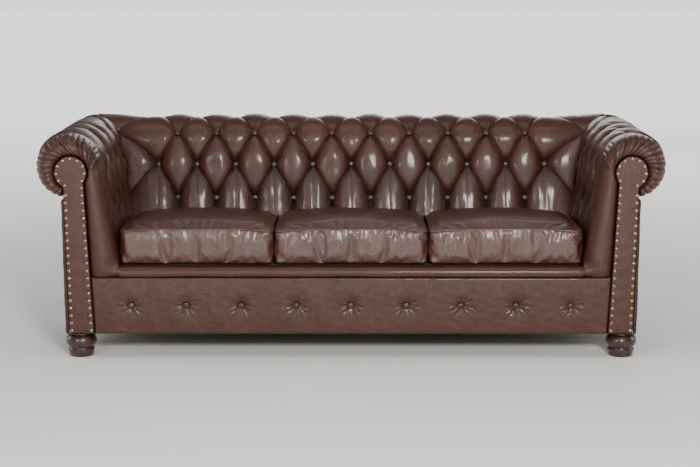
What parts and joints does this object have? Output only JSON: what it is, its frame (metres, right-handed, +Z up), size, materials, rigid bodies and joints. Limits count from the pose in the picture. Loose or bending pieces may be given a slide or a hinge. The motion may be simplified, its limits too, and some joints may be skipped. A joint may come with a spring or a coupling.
{
  "type": "chesterfield sofa",
  "caption": "Deep-buttoned leather sofa with rolled arms level with its back, nailed arm facings, loose seat cushions and turned wooden feet.",
  "frame": {"origin": "on the floor, at the centre of the sofa's width and depth", "axes": "+X to the right as seen from the front, the front faces -Y, +Z up"},
  "size_m": [2.0204, 0.8003, 0.7253],
  "materials": {
    "leather": "dark reddish brown, semi-gloss, finely grained",
    "cushion_leather": "dark reddish brown, semi-gloss, softly creased",
    "button_leather": "dark reddish brown, semi-gloss",
    "foot_wood": "dark red-brown stain under gloss lacquer",
    "nail_brass": "antique bronze, domed",
    "frame_wood": "planed, bare",
    "foam": "cream foam and fibre padding",
    "felt": "grey needled felt",
    "lining_cloth": "black woven lining",
    "webbing": "woven jute strap",
    "steel": "bright zinc"
  },
  "bodies": {
    "root": {"arm_buttons": "button_leather", "arm_front_boards": "frame_wood", "arm_liners": "frame_wood", "arm_posts": "frame_wood", "arm_rails": "frame_wood", "arm_roll_formers": "frame_wood", "back_buttons": "button_leather", "back_cover": "leather", "back_foam": "foam", "back_posts": "frame_wood", "back_roll_former": "frame_wood", "back_tack_rail": "frame_wood", "back_webbing": "webbing", "corner_blocks": "frame_wood", "deck_cover": "lining_cloth", "deck_felt": "felt", "deck_foam": "foam", "dust_cover": "lining_cloth", "foot_bolts": "steel", "foot_front_left": "foot_wood", "foot_front_right": "foot_wood", "foot_plates": "steel", "foot_rear_left": "foot_wood", "foot_rear_right": "foot_wood", "front_rail_buttons": "button_leather", "front_rail_cover": "leather", "front_rail_wadding": "foam", "front_seat_rail": "frame_wood", "left_arm_cover": "leather", "left_arm_foam": "foam", "left_arm_front_band": "leather", "left_facing_panel": "leather", "left_nail_trim": "nail_brass", "left_outside_arm_cover": "leather", "left_rear_corner_cover": "leather", "outside_back_cover": "leather", "rear_seat_rail": "frame_wood", "right_arm_cover": "leather", "right_arm_foam": "foam", "right_arm_front_band": "leather", "right_facing_panel": "leather", "right_nail_trim": "nail_brass", "right_outside_arm_cover": "leather", "right_rear_corner_cover": "leather", "seat_cross_braces": "frame_wood", "seat_lip_cover": "leather", "seat_lip_foam": "foam", "seat_springs": "steel", "side_seat_rails": "frame_wood", "spring_clips": "steel"},
    "left_cushion": {"left_cushion_core": "foam", "left_cushion_cover": "cushion_leather", "left_cushion_piping": "cushion_leather"},
    "middle_cushion": {"middle_cushion_core": "foam", "middle_cushion_cover": "cushion_leather", "middle_cushion_piping": "cushion_leather"},
    "right_cushion": {"right_cushion_core": "foam", "right_cushion_cover": "cushion_leather", "right_cushion_piping": "cushion_leather"}
  },
  "joints": [
    {"name": "left_cushion_lift", "type": "slide", "parent": "root", "child": "left_cushion", "axis": [0, 0, 1], "range_m": [0, 0.5]},
    {"name": "middle_cushion_lift", "type": "slide", "parent": "root", "child": "middle_cushion", "axis": [0, 0, 1], "range_m": [0, 0.5]},
    {"name": "right_cushion_lift", "type": "slide", "parent": "root", "child": "right_cushion", "axis": [0, 0, 1], "range_m": [0, 0.5]}
  ]
}
